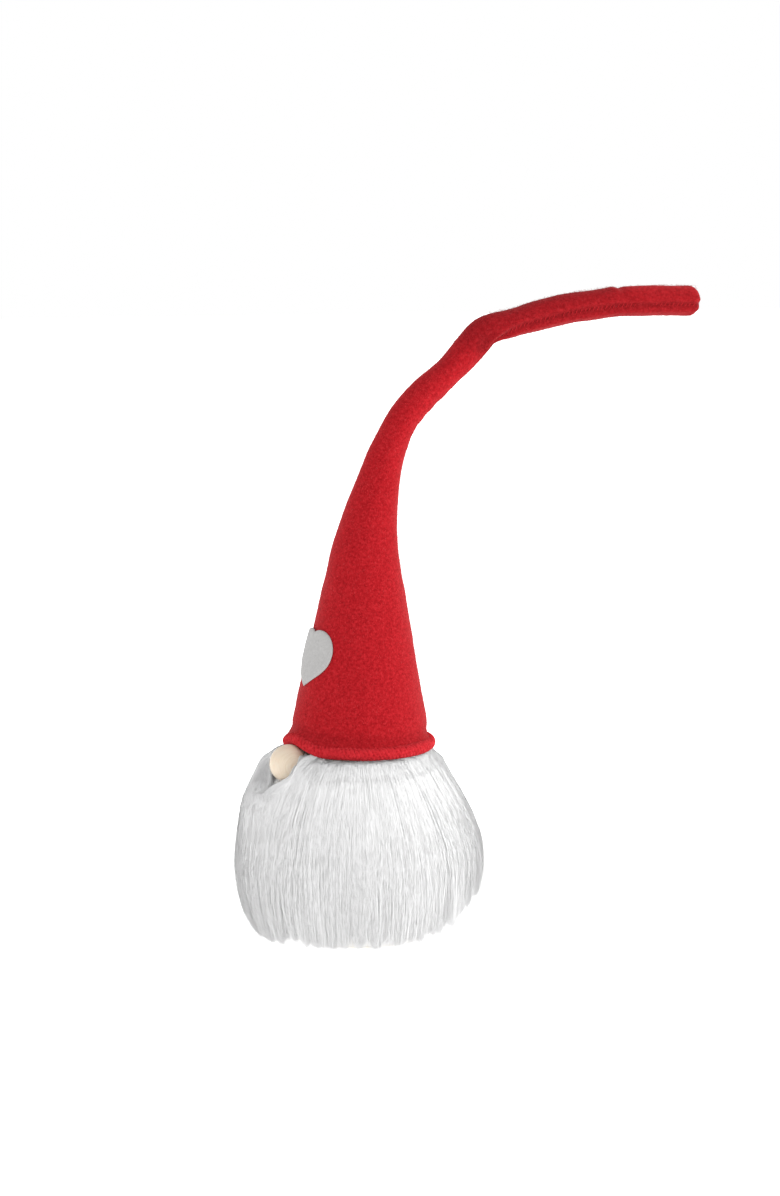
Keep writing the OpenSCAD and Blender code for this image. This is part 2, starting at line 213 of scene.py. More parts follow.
class Nodes:
    """A principled material, with short ways to add and join its shader nodes."""

    def __init__(self, *plain, **sockets):
        self.material = plain_material(*plain, **sockets)
        self.tree = self.material.node_tree
        self.shader = self.tree.nodes["Principled BSDF"]

    def add(self, kind, **inputs):
        node = self.tree.nodes.new(kind)
        for key, value in inputs.items():
            self.put(node.inputs[key.replace("_", " ")], value)
        return node

    def put(self, socket, value):
        if isinstance(value, bpy.types.NodeSocket):
            self.tree.links.new(value, socket)
        else:
            socket.default_value = value

    def place(self, stretch=(1, 1, 1)):
        """Position on the piece in metres, stretched along each axis."""
        mapping = self.add("ShaderNodeMapping", Scale=stretch)
        self.put(mapping.inputs["Vector"], self.add("ShaderNodeTexCoord").outputs["Object"])
        return mapping.outputs["Vector"]

    def noise(self, size_mm, detail=2.0, stretch=(1, 1, 1)):
        """Noise whose blobs are about size_mm across."""
        node = self.add("ShaderNodeTexNoise", Scale=1.0 / (size_mm * MM), Detail=detail)
        self.put(node.inputs["Vector"], self.place(stretch))
        return node.outputs["Fac"]

    def ramp(self, value, *stops):
        """Colours at places from 0 to 1."""
        node = self.add("ShaderNodeValToRGB", Fac=value)
        elements = node.color_ramp.elements
        while len(elements) < len(stops):
            elements.new(0.5)
        for element, (position, colour) in zip(elements, stops):
            element.position = position
            element.color = (*colour, 1.0)
        return node.outputs["Color"]

    def mix(self, factor, a, b, blend="MIX"):
        """Colours a and b mixed by the factor; sockets 6 and 7 are a colour mix's two colours."""
        node = self.tree.nodes.new("ShaderNodeMix")
        node.data_type = "RGBA"
        node.blend_type = blend
        for socket, value in ((node.inputs[0], factor), (node.inputs[6], a), (node.inputs[7], b)):
            if isinstance(value, tuple):
                value = (*value, 1.0)
            self.put(socket, value)
        return node.outputs[2]

    def math(self, operation, a, b):
        node = self.tree.nodes.new("ShaderNodeMath")
        node.operation = operation
        self.put(node.inputs[0], a)
        self.put(node.inputs[1], b)
        return node.outputs[0]

    def weighted(self, a, share_a, b, share_b):
        """Sum of two values, each times its share."""
        return self.math("ADD", self.math("MULTIPLY", a, share_a),
                         self.math("MULTIPLY", b, share_b))

    def paint(self, colour):
        self.put(self.shader.inputs["Base Color"], colour)

    def relief(self, height, depth_mm, strength=1.0):
        node = self.add("ShaderNodeBump", Strength=strength, Distance=depth_mm * MM)
        self.put(node.inputs["Height"], height)
        self.put(self.shader.inputs["Normal"], node.outputs["Normal"])


def felt_material(name, dark, middle, light, fleck, sheen_tint, sheen=0.12, shade=None):
    """Pressed wool: blotches of a few fibres, pale flecks of loose fibre, a nap that scatters."""
    nodes = Nodes(name, middle, 0.95, Sheen_Weight=sheen, Sheen_Roughness=0.4,
                  Sheen_Tint=sheen_tint, Specular_IOR_Level=0.08)
    grain = nodes.weighted(nodes.noise(2.1, 5.0, (1, 1, 1.3)), 0.55,
                           nodes.noise(0.8, 3.0, (1, 1, 0.6)), 0.45)
    blotch = nodes.ramp(grain, (0.36, dark), (0.5, middle), (0.64, light))
    fibre = nodes.noise(0.7, 4.0, (1.0, 1.0, 0.4))
    flecked = nodes.ramp(fibre, (0.62, (0, 0, 0)), (0.76, (1, 1, 1)))
    colour = nodes.mix(nodes.math("MULTIPLY", flecked, 0.4), blotch, fleck)
    # a point attribute of painted light and shade, when one is named, multiplies the colour
    if shade:
        attribute = nodes.tree.nodes.new("ShaderNodeAttribute")
        attribute.attribute_name = shade
        colour = nodes.mix(1.0, colour, attribute.outputs["Color"], "MULTIPLY")
    nodes.paint(colour)
    height = nodes.weighted(nodes.noise(0.4, 4.0), 0.5, nodes.noise(1.6, 3.0), 0.7)
    nodes.relief(height, 0.4, 0.8)
    return nodes.material


def thread_material(name, colour):
    nodes = Nodes(name, colour, 0.9, Specular_IOR_Level=0.1)
    dark = tuple(0.7 * c for c in colour)
    nodes.paint(nodes.ramp(nodes.noise(0.5), (0.3, dark), (0.7, colour)))
    nodes.relief(nodes.noise(0.3), 0.1, 0.6)
    return nodes.material


def wood_material():
    """Pale bead wood: faint growth lines and pores, sanded smooth and left bare."""
    nodes = Nodes("bead_wood", srgb(226, 204, 176), 0.5, Specular_IOR_Level=0.25,
                  Subsurface_Weight=0.12, Subsurface_Radius=(0.004, 0.002, 0.001))
    rings = nodes.add("ShaderNodeTexWave", Scale=420.0, Distortion=2.0, Detail=2.0)
    rings.bands_direction = "X"
    nodes.put(rings.inputs["Vector"], nodes.place((1, 0.25, 0.6)))
    grain = nodes.ramp(rings.outputs["Fac"], (0.2, srgb(212, 196, 176)), (0.8, srgb(215, 200, 180)))
    pores = nodes.ramp(nodes.noise(0.7, 4.0, (1, 0.12, 0.12)), (0.36, (0.93, 0.89, 0.84)),
                       (0.5, (1, 1, 1)))
    nodes.paint(nodes.mix(0.55, grain, pores, "MULTIPLY"))
    nodes.relief(nodes.noise(0.6, 3.0, (1, 0.2, 0.2)), 0.05, 0.4)
    return nodes.material


def cloth_material(name, colour, pitch_mm=0.8):
    """Plain weave: two crossing sets of threads."""
    nodes = Nodes(name, colour, 0.9, Sheen_Weight=0.2)
    waves = []
    for axis in ("X", "Y"):
        # a wave of scale 1 repeats about every 0.314
        wave = nodes.add("ShaderNodeTexWave", Scale=0.314 / (pitch_mm * MM))
        wave.bands_direction = axis
        nodes.put(wave.inputs["Vector"], nodes.place())
        waves.append(wave.outputs["Fac"])
    weave = nodes.math("MULTIPLY", *waves)
    nodes.paint(nodes.ramp(weave, (0.0, tuple(0.8 * c for c in colour)), (0.8, colour)))
    nodes.relief(weave, 0.2, 0.7)
    return nodes.material


def mottled_material(name, dark, light, size_mm, roughness, depth_mm=0.1, **sockets):
    """One colour broken up by noise, with a slight relief."""
    nodes = Nodes(name, light, roughness, **sockets)
    patch = nodes.noise(size_mm, 4.0)
    nodes.paint(nodes.ramp(patch, (0.35, dark), (0.65, light)))
    nodes.relief(patch, depth_mm, 0.7)
    return nodes.material


RED_SHEEN = (1.0, 0.5, 0.5)
# the felt red, multiplied by the hat's painted light and shade
FELT_RED = felt_material("felt_red", srgb(137, 11, 19), srgb(156, 20, 27), srgb(174, 31, 38),
                         srgb(195, 79, 81), RED_SHEEN, shade="painted_light_and_shade")
# the hem roll's felt: a lighter copy of the felt red, painted light on the roll
HEM_RED_PAINTED_LIGHT = felt_material("felt_red_hem_painted_light", srgb(147, 16, 24), srgb(180, 33, 41),
                        srgb(195, 45, 52), srgb(203, 87, 89), RED_SHEEN)
FELT_GREY = felt_material("felt_grey", srgb(161, 160, 159), srgb(166, 165, 164),
                          srgb(171, 170, 169), srgb(183, 182, 181), (1.0, 1.0, 1.0), 0.1)
THREAD_RED = thread_material("thread_red", srgb(196, 38, 45))
FUZZ_RED = plain_material("fuzz_red", srgb(205, 58, 62), 0.9, Specular_IOR_Level=0.1)
# a darker copy of the fuzz colour: painted shade for the fuzz on the tail and tip
FUZZ_PAINTED_SHADE = plain_material("fuzz_red_painted_shade", srgb(164, 38, 44), 0.9, Specular_IOR_Level=0.1)
BEAD_WOOD = wood_material()
FIBRE = mottled_material("combed_fibre", (0.78, 0.78, 0.77), (0.93, 0.93, 0.92), 3.0, 0.95, 0.8)


# ---- mesh helpers ----

def piece_from_arrays(name, points_mm, faces, materials, indices=None):
    """Smooth-shaded mesh object from arrays of points and of three- or four-cornered faces."""
    mesh = bpy.data.meshes.new(name)
    points = np.asarray(points_mm, np.float32).reshape(-1, 3) * MM
    mesh.vertices.add(len(points))
    mesh.vertices.foreach_set("co", points.ravel())
    corners = np.concatenate([np.asarray(f, np.int32).ravel() for f in faces])
    sizes = np.concatenate([np.full(len(f), np.asarray(f).shape[1], np.int32) for f in faces])
    mesh.loops.add(len(corners))
    mesh.loops.foreach_set("vertex_index", corners)
    mesh.polygons.add(len(sizes))
    mesh.polygons.foreach_set("loop_start", np.concatenate([[0], np.cumsum(sizes)[:-1]]))
    mesh.polygons.foreach_set("use_smooth", np.ones(len(sizes), bool))
    for material in materials:
        mesh.materials.append(material)
    if indices is not None:
        mesh.polygons.foreach_set("material_index", np.asarray(indices, np.int32))
    mesh.update(calc_edges=True)
    mesh.validate()
    return new_object(name, mesh)


def fan(edge, hub):
    """Triangles from each step of a closed edge to one point."""
    return np.stack([edge, np.roll(edge, -1), np.full(len(edge), hub)], -1)


def grid_faces(rows, columns, closed=True):
    """Faces of a grid of points, whose rows join end to end when closed."""
    i, j = np.meshgrid(np.arange(rows - 1), np.arange(columns if closed else columns - 1),
                       indexing="ij")
    k = (j + 1) % columns
    a, b = i * columns + j, i * columns + k
    return np.stack([a, b, b + columns, a + columns], -1).reshape(-1, 4)


def field(points_mm, size_mm, seed=0.0):
    """Smooth noise from -1 to 1 at each point, in blobs of size_mm."""
    return np.array([noise.noise(Vector(p) / size_mm + Vector((seed, 2 * seed, -seed)))
                     for p in points_mm])


def strand_mesh(name, paths, radii, materials, shades=None, sides=3):
    """Thin tubes along paths (strand, point, xyz), each ending in a point.

    radii is one radius or one for each point; shades is each strand's material, if not the first.
    """
    count, length = paths.shape[:2]
    radii = np.broadcast_to(radii, (count, length))
    shades = np.zeros(count, int) if shades is None else shades
    along = unit(np.gradient(paths, axis=1))
    x, y, z = np.moveaxis(paths, -1, 0)
    reference = np.stack([y, -x, np.full_like(z, 1e-3)], -1)
    side = unit(np.cross(along, reference))
    other = np.cross(along, side)
    turns = np.arange(sides) * TURN / sides
    rings = (paths[:, :-1, None]
             + radii[:, :-1, None, None] * (np.cos(turns)[:, None] * side[:, :-1, None]
                                            + np.sin(turns)[:, None] * other[:, :-1, None]))
    ring_points = (length - 1) * sides
    points = np.concatenate([rings.reshape(count, ring_points, 3), paths[:, -1:]], axis=1)
    per = ring_points + 1
    starts = (np.arange(count) * per)[:, None, None]
    quads = (grid_faces(length - 1, sides)[None] + starts).reshape(-1, 4)
    last = (length - 2) * sides
    tip = fan(last + np.arange(sides), ring_points)
    root = np.arange(sides)[::-1][None]
    tips = (tip[None] + starts).reshape(-1, 3)
    roots = (root[None] + starts).reshape(-1, sides)
    indices = np.concatenate([np.repeat(shades, (length - 2) * sides), np.repeat(shades, sides),
                              shades])
    return piece_from_arrays(name, points, [quads, tips, roots], materials, indices)


# ---- the hat's line ----

def heading(degrees):
    return np.array([cos(radians(degrees)), sin(radians(degrees))])


def hermite(p0, d0, p1, d1, t):
    t = t[:, None]
    return ((2 * t**3 - 3 * t**2 + 1) * p0 + (t**3 - 2 * t**2 + t) * d0
            + (-2 * t**3 + 3 * t**2) * p1 + (t**3 - t**2) * d1)


JOINT = {j["name"]: np.array(j["pos_m"])[1:] / MM for j in frame["joints"]}
HEM_LOW, HEM_HIGH = box_mm("hat_hem")
CAP_LOW, CAP_HIGH = box_mm("tip_cap")
WAIST = JOINT["hat_lean"]
NOSE_LOW, NOSE_HIGH = box_mm("nose_bead")
NOSE = (NOSE_LOW + NOSE_HIGH) / 2
NOSE_R = (NOSE_HIGH[2] - NOSE_LOW[2]) / 2
NOSE_TURN = atan2(NOSE[0], -NOSE[1])
HEM_R = 3.5
BRIM_R = (HEM_HIGH[0] - HEM_LOW[0]) / 2 - HEM_R
BRIM_Y = (HEM_HIGH[1] + HEM_LOW[1]) / 2
BRIM_Z = HEM_LOW[2] + HEM_R
WAIST_R, NECK_R, ELBOW_R, TAIL_R, TIP_R = 22.3, 10.0, 10.6, 9.9, 10.2
CONE_FLARE = 0.2
TAPER = 1.6
STEP = 1.25
LINE_SOFTENED = 5.0
# place (y, z), heading in, heading out, radius
BENDS = [
    (WAIST, 88, 82, WAIST_R),
    (JOINT["neck_bend"], 57, 46, NECK_R),
    (JOINT["tail_bend"], 43, 18, ELBOW_R),
    (JOINT["tip_bend"], 4, 3, TAIL_R),
    (np.array([CAP_HIGH[1], (CAP_LOW[2] + CAP_HIGH[2]) / 2]), -2, -2, TIP_R),
]


def hat_line():
    """Points (y, z), heading in radians and radius at every STEP from the brim to the end."""
    foot = np.array([BRIM_Y, BRIM_Z])
    height = np.linalg.norm(WAIST - foot)
    t = np.linspace(0, 1, 400)
    points = [lerp(foot, WAIST, t[:, None])]
    radii = [WAIST_R + CONE_FLARE * height * (1 - t)]
    for (p0, _, out, r0), (p1, into, _, r1) in zip(BENDS, BENDS[1:]):
        length = np.linalg.norm(p1 - p0)
        points.append(hermite(p0, length * heading(out), p1, length * heading(into), t[1:]))
        radii.append(r1 + (r0 - r1) * (1 - t[1:]) ** TAPER)
    points, radii = np.concatenate(points), np.concatenate(radii)
    run = distances(points)
    at = np.linspace(0, run[-1], int(run[-1] / STEP) + 1)
    points = soften(places(at, run, points), LINE_SOFTENED)
    radii = soften(np.interp(at, run, radii)[:, None], LINE_SOFTENED)[:, 0]
    slope = np.gradient(points, axis=0)
    return at, points, np.arctan2(slope[:, 1], slope[:, 0]), radii


def soften(values, width_mm):
    """Running average along the line that leaves its two ends where they are."""
    reach = int(3 * width_mm / STEP)
    kernel = np.exp(-0.5 * (np.arange(-reach, reach + 1) * STEP / width_mm) ** 2)
    kernel /= kernel.sum()
    first = 2 * values[0] - values[reach:0:-1]
    last = 2 * values[-1] - values[-2:-reach - 2:-1]
    padded = np.concatenate([first, values, last])
    return np.stack([np.convolve(column, kernel, "valid") for column in padded.T], -1)


LINE_AT, LINE, LINE_TURN, LINE_R = hat_line()
LINE_END = LINE_AT[-1]


def place_on_line(point):
    """Distance along the hat's line of the place nearest to a (y, z) point."""
    return LINE_AT[np.argmin(np.linalg.norm(LINE - point, axis=1))]


S_WAIST, S_NECK, S_ELBOW, S_TIP = (place_on_line(b[0]) for b in BENDS[:4])


def seam_phi(s):
    """The seam runs up the back of the cone and turns to the +X side past the elbow."""
    return np.radians(lerp(-90, -16, smoothstep(S_ELBOW - 24, S_ELBOW + 26, s)))


def around(phi, middle, width_mm, r):
    """1 at angle middle, falling off over width_mm along the tube's round."""
    return bump(wrapped(phi - middle) * r, 0, width_mm)


TOP, UNDER, NEAR_TOP = 90, -90, 80
# height, below 0 in a dent; place along the line and its reach; angle in degrees and its width
HAT_DENTS = [
    # the elbow, with the neck before it and the tail behind it
    (-2.3, S_ELBOW - 6, 7.0, -14, 6.0),
    (0.6, S_ELBOW, 9.0, TOP, 8.0),
    (-2.7, S_ELBOW - 36, 15.0, TOP, 12.0),
    (-2.0, S_ELBOW + 5, 8.0, UNDER, 8.0),
    (0.7, S_ELBOW - 9, 5.0, UNDER, 7.0),
    (-1.4, S_ELBOW + 26, 15.0, TOP, 9.0),
    (-0.7, S_ELBOW + 22, 12.0, UNDER, 9.0),
    # the crease across the top of the tail
    (0.6, S_TIP - 2.5, 3.2, NEAR_TOP, 9.0),
    (-1.0, S_TIP + 2.8, 2.4, NEAR_TOP, 9.0),
]


def hat_radius(s, phi):
    """Radius of the felt's face: the sewn tube with its seam, creases and dents.

    phi is 0 on the +X side and 90 degrees in front of the cone, which is the top of the tail.
    """
    base = np.interp(s, LINE_AT, LINE_R)
    # the felt is drawn in above the hem roll
    r = base + 2.2 * np.exp(-np.maximum(s, 0) / 3.0) - 1.1 * bump(s, 9.0, 4.2)
    # seam: a groove that is shallow on the cone and deeper where the tube is narrow
    narrow = smoothstep(S_NECK, S_ELBOW + 15, s)
    seam = seam_phi(s)
    r -= lerp(0.5, 1.6, narrow) * around(phi, seam, lerp(1.3, 2.8, narrow), base)
    for side in (-1, 1):
        r += 0.35 * around(phi, seam + side * 4.8 / base, 1.9, base)
    for depth, place, reach, degrees, width in HAT_DENTS:
        r += depth * bump(s, place, reach) * around(phi, radians(degrees), width, base)
    # a soft valley along the side of the tail
    tail = smoothstep(S_ELBOW + 22, S_ELBOW + 34, s) * (1 - smoothstep(S_TIP + 6, S_TIP + 16, s))
    r -= 0.8 * tail * around(phi, radians(4), 4.5, base)
    # small folds on the inner side of the neck
    folds = 0.3 * bump(s, S_NECK + 12, 20.0) * np.sin(s * TURN / 11.0)
    return r + folds * around(phi, radians(UNDER), 9.0, base)


def painted_hat_shading(s, phi):
    """How light the felt is painted, 1 where nothing is painted: painted shade darkens the tail,
    most along its seam, and the crease above the hem and the dent at the elbow; a painted highlight
    lightens the top of the tail's end.
    """
    r = np.interp(s, LINE_AT, LINE_R)
    tail = smoothstep(S_ELBOW - 28, S_ELBOW - 6, s)
    end = smoothstep(S_TIP - 12, S_TIP + 16, s)
    # painted shade darkens the whole tail; a painted highlight lightens the top of its end
    shade = 1 - 0.26 * tail + 0.34 * end * around(phi, radians(NEAR_TOP), 9.0, r)
    # painted shade in the crease above the hem roll
    shade -= 0.12 * bump(s, 8.0, 5.0)
    # painted shade along the tail's seam
    shade -= 0.20 * tail * around(phi, seam_phi(s), 2.0, r)
    # painted shade in the dent beside the elbow
    shade -= 0.16 * bump(s, S_ELBOW - 6, 9.0) * around(phi, radians(-10), 8.0, r)
    return shade


def hat_points(s, phi, lift=0.0):
    """Points on the felt at distance s along the line and angle phi round it."""
    y, z = places(s, LINE_AT, LINE).T
    turn = np.interp(s, LINE_AT, LINE_TURN)
    r = hat_radius(s, phi) + lift
    side, up = r * np.cos(phi), r * np.sin(phi)
    points = np.stack([side, y - up * np.sin(turn), z + up * np.cos(turn)], -1)
    # the whole brim is carried up by the nose
    raised = hem_lift(np.degrees(np.arctan2(points[:, 0], BRIM_Y - points[:, 1])))
    points[:, 2] += raised * np.exp(-np.maximum(s, 0) / LIFT_REACH)
    return points


HEM_LIFT = HEM_HIGH[2] - HEM_R - BRIM_Z
# degrees round the brim, and mm up the cone, over which the lift dies away
LIFT_SPREAD = 20.0
LIFT_REACH = 16.0


def hem_lift(degrees):
    """How far the brim is pushed up at an angle from the front."""
    return HEM_LIFT * np.exp(-(((degrees - np.degrees(NOSE_TURN)) / LIFT_SPREAD) ** 2))


# ---- the hat's felt ----

HAT_SIDES = 176
# places along the line where the felt is cut into pieces
HAT_CUTS = [0.0, S_WAIST + 45, S_NECK + 40, S_ELBOW + 50, LINE_END]
# piece, the bodies that it joins, the joint between them, how far it bends to each side of the
# joint, and the CAD nodes that it stands for
HAT_PIECES = [
    ("cone", "gnome_body", "hat_upper", "hat_lean", 16, ("hat_cone_felt",)),
    ("neck", "hat_upper", "hat_neck", "neck_bend", 17, ("hat_upper_felt",)),
    ("tail", "hat_neck", "hat_tail", "tail_bend", 17, ("hat_neck_felt",)),
    ("tip", "hat_tail", "hat_tip", "tip_bend", 17, ("hat_tail_felt", "hat_tip_felt", "tip_cap")),
]
LAST_PIECE = len(HAT_PIECES) - 1
# the end cap: how far its edge is rounded, and its rings as shares of that edge
CAP_ROUND = 7.0
CAP_RINGS = (0.97, 0.8, 0.6, 0.4, 0.2, 0.05)


def across_joint(piece):
    """Bakes a piece of the hat's placement into its mesh."""
    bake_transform(piece)


def rough_felt(points):
    """Points moved a little by the lumps that the felt keeps from being rolled and stuffed."""
    lumps = 0.45 * field(points, 17.0, 3.1) + 0.16 * field(points, 4.0, 8.2)
    return points + lumps[:, None] * unit(points - points.mean(axis=0))


def hat_grid():
    """Rings of points over the whole hat, closed at the end by a rounded cap."""
    phi = np.arange(HAT_SIDES) * TURN / HAT_SIDES
    last = LINE_END - CAP_ROUND
    turns = np.linspace(0, pi / 2, 7)[:-1]
    at = np.concatenate([np.arange(-1.0, last, STEP), last + CAP_ROUND * np.sin(turns)])
    rings = []
    for s in at:
        points = hat_points(np.full(HAT_SIDES, s), phi)
        over = max(0.0, s - last) / CAP_ROUND
        if over > 0:
            middle = np.array([0, *places(s, LINE_AT, LINE)])
            spoke = points - middle
            r = np.linalg.norm(spoke, axis=1, keepdims=True)
            points = middle + spoke * (1 - CAP_ROUND * (1 - sqrt(1 - over**2)) / r)
        rings.append(rough_felt(points))
    edge = rings[-1]
    middle = edge.mean(axis=0)
    outwards = np.array([0, cos(LINE_TURN[-1]), sin(LINE_TURN[-1])])
    for share in CAP_RINGS:
        dome = 0.5 * sqrt(1 - share**2) * outwards
        rings.append(middle + (edge - middle) * share + dome)
    at = np.append(at, [LINE_END] * len(CAP_RINGS))
    # with the painted light and shade at each point
    return np.array(rings), at, painted_hat_shading(at[:, None], phi[None, :] + 0 * at[:, None])


def make_hat_felt():
    rings, at, shade = hat_grid()
    for index, (name, *_, nodes) in enumerate(HAT_PIECES):
        first = np.searchsorted(at, HAT_CUTS[index]) if index else 0
        last = len(at) if index == LAST_PIECE else np.searchsorted(at, HAT_CUTS[index + 1]) + 1
        part = rings[first:last]
        faces = [grid_faces(len(part), HAT_SIDES)]
        points, shades = part.reshape(-1, 3), shade[first:last].ravel()
        if index == LAST_PIECE:
            hub = len(points)
            faces.append(fan(np.arange(hub - HAT_SIDES, hub), hub))
            points = np.concatenate([points, part[-1].mean(axis=0)[None]])
            shades = np.append(shades, shades[-1])
        piece = piece_from_arrays(f"hat_{name}", points, faces, [FELT_RED])
        # painted light and shade, kept on the points for the felt's colour
        painted_light_and_shade = piece.data.attributes.new("painted_light_and_shade", "FLOAT", "POINT")
        painted_light_and_shade.data.foreach_set("value", shades.astype(np.float32))
        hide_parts(*nodes)
        across_joint(piece)


def make_hat_filling():
    """Rolls of fibre in the neck, tail and tip, tapered to leave room where the felt bends."""
    sides, rows, room = 24, 40, 6.0
    phi = np.arange(sides) * TURN / sides
    for name, first, last in (("neck", S_NECK, S_ELBOW), ("tail", S_ELBOW, S_TIP),
                              ("tip", S_TIP, LINE_END)):
        rings = []
        for s in np.linspace(first + room, last - room, rows):
            points = hat_points(np.full(sides, s), phi)
            middle = points.mean(axis=0)
            share = 0.3 + 0.4 * smoothstep(room - 1, 18, min(s - first, last - s))
            rings.append(middle + (points - middle) * share)
        hubs = np.array([rings[0].mean(axis=0), rings[-1].mean(axis=0)])
        edge, count = np.arange(sides), rows * sides
        faces = [grid_faces(rows, sides), fan(edge, count)[:, [1, 0, 2]],
                 fan(edge + count - sides, count + 1)]
        roll = piece_from_arrays(f"{name}_fibre", np.concatenate([*rings, hubs]), faces, [FIBRE])
        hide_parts(f"{name}_stuffing")
        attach(roll, f"hat_{name}")


# piece, the CAD nodes that it stands for, and the pitch of its stitches
SEAMS = [
    ("cone_seam", ("cone_seam_thread",), 4.2),
    ("neck_seam", ("upper_seam_thread",), 3.4),
    ("tail_seam", ("neck_seam_thread",), 3.2),
    ("tip_seam", ("tail_seam_thread", "tip_seam_thread", "tip_cap_stitches"), 3.2),
]
SEAM_THREAD_R = 0.2


def make_seam_stitches():
    """Small slanted stitches that close the felt along its seam, lying in the groove."""
    for index, (name, nodes, pitch) in enumerate(SEAMS):
        first = HAT_CUTS[index] + 6
        last = HAT_CUTS[index + 1] - (5 if index == LAST_PIECE else 0)
        s = np.arange(first, last, pitch)
        s = s + rng.uniform(-0.35, 0.35, len(s))
        across = np.linspace(-1, 1, 9)
        at = s[:, None] + across * 0.9
        phi = seam_phi(at) + across * 1.9 / np.interp(at, LINE_AT, LINE_R)
        sunk = -0.62 + 0.62 * np.sqrt(np.clip(1 - across**2, 0, 1)) + 0 * at
        paths = hat_points(at.ravel(), phi.ravel(), sunk.ravel()).reshape(*at.shape, 3)
        stitches = strand_mesh(name, paths, SEAM_THREAD_R, [THREAD_RED], sides=8)
        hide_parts(*nodes)
        across_joint(stitches)


FUZZ_COUNTS = (5200, 2600, 2400, 3000)
FUZZ_R = 0.045


def make_fuzz():
    """Loose fibres that stand off the felt and soften its outline."""
    for index, (name, *_) in enumerate(HAT_PIECES):
        count = FUZZ_COUNTS[index]
        last = HAT_CUTS[index + 1] - (2 if index == LAST_PIECE else 0)
        s = rng.uniform(HAT_CUTS[index], last, count)
        phi = rng.uniform(-pi, pi, count)
        here = hat_points(s, phi)
        along = hat_points(s + 0.5, phi) - here
        across = hat_points(s, phi + 0.02) - here
        out = unit(np.cross(across, along))
        out *= np.sign(((hat_points(s, phi, np.ones(count)) - here) * out).sum(1))[:, None]
        turn = rng.uniform(0, TURN, count)[:, None]
        lean = np.cos(turn) * unit(along) + np.sin(turn) * unit(across)
        length = rng.uniform(0.7, 2.1, count)[:, None]
        lift = rng.uniform(0.25, 0.8, count)[:, None]
        t = np.linspace(0, 1, 5)[:, None]
        paths = (here[:, None] - 0.25 * out[:, None] + t * (length * lean)[:, None]
                 + np.sin(t * 2.2) * (length * lift * out)[:, None])
        # the tail and tip pieces take the fuzz colour with painted shade
        fuzz = strand_mesh(f"{name}_fuzz", paths, FUZZ_R, [FUZZ_PAINTED_SHADE if index > 1 else FUZZ_RED])
        across_joint(fuzz)


# ---- the hem ----

WHIPS = 112
SLANT = 3.7
WHIP_R = 0.3
ROLL_TALL, ROLL_DEEP = 4.1, 4.0


def hem_points(a, psi, lift=0.0):
    """Points on the rolled hem: a runs round the brim from the front, psi round the roll.

    psi is 0 on the outside and 90 degrees on top.
    """
    z = BRIM_Z + hem_lift(wrapped_degrees(a))
    r = BRIM_R + (ROLL_DEEP + lift) * np.cos(psi)
    return round_axis(a, r, z + (ROLL_TALL + lift) * np.sin(psi)) + [0, BRIM_Y, 0]


def make_hem():
    around_count, section = WHIPS * 10, 26
    a = np.repeat(np.arange(around_count) * TURN / around_count, section)
    psi = np.tile(np.arange(section) * TURN / section, around_count)
    outside = np.clip(0.35 + np.cos(psi - 0.3), 0, 1)
    pulled = np.cos(WHIPS * a + SLANT * psi)
    depth = -0.5 * np.clip(pulled, 0, 1) ** 2 * outside
    points = hem_points(a, psi, depth)
    points += 0.28 * field(points, 5.0, 5.0)[:, None] * round_axis(a, 1.0, np.zeros_like(a))
    points[:, 2] += 0.45 * field(points, 21.0, 1.0)
    faces = grid_faces(around_count + 1, section) % (around_count * section)
    hem = piece_from_arrays("hem_roll", points, [faces], [HEM_RED_PAINTED_LIGHT])
    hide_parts("hat_hem")
    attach(hem, "gnome_body")


def make_hem_stitches():
    """Whip stitches over the roll, leaning one way, each pulled into the felt."""
    a = (np.arange(WHIPS) + 0.5) * TURN / WHIPS + rng.normal(0, 0.004, WHIPS)
    t = np.linspace(0, 1, 13)
    psi = np.radians(lerp(118, -78, t))
    round_ = a[:, None] - SLANT * psi[None] / WHIPS
    psi = np.broadcast_to(psi, round_.shape)
    sunk = np.broadcast_to(-0.22 - 0.6 * np.abs(2 * t - 1) ** 4, round_.shape)
    paths = hem_points(round_, psi, sunk)
    radii = WHIP_R * rng.uniform(0.85, 1.15, WHIPS)[:, None]
    stitches = strand_mesh("hem_whip_stitches", paths, radii, [THREAD_RED], sides=8)
    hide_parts("hem_stitches")
    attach(stitches, "gnome_body")


# ---- the heart and the nose ----

HEART_LOW, HEART_HIGH = box_mm("heart_patch")
HEART_Z, HEART_H = HEART_LOW[2], HEART_HIGH[2] - HEART_LOW[2]
HEART_THICK = 1.6
HEART_BACK = 0.35
HEART_RINGS = [0.12, 0.24, 0.36, 0.48, 0.6, 0.72, 0.82, 0.9, 0.95, 0.98]
# the patch is pressed round the cone from this x on; the rest stands away by this much per mm^2
HEART_PRESSED_FROM = -2.0
HEART_STANDS_AWAY = 0.010


def heart_outline(count=240):
    """Outline of the cut heart as (x, z) from its point, going round anticlockwise."""
    middle, lobe = np.array([0.19, 0.592]) * HEART_H, np.array([0.391, 0.408]) * HEART_H
    turn = np.linspace(radians(-40), acos(-middle[0] / lobe[0]), 60)
    right = middle + lobe * np.stack([np.cos(turn), np.sin(turn)], -1)
    t = np.linspace(0, 1, 40)[:, None]
    tip, belly, shoulder = np.array([0.7, 0.5]), np.array([0.405, 0.223]) * HEART_H, right[0]
    side = (1 - t) ** 2 * tip + 2 * t * (1 - t) * belly + t**2 * shoulder
    half = np.concatenate([[[0, 0]], side, right[1:]])
    half[-1, 0] = 0
    loop = np.concatenate([half, half[-2:0:-1] * [-1, 1]])
    run = distances(loop)
    return places(np.linspace(0, run[-1], count, endpoint=False), run, loop)


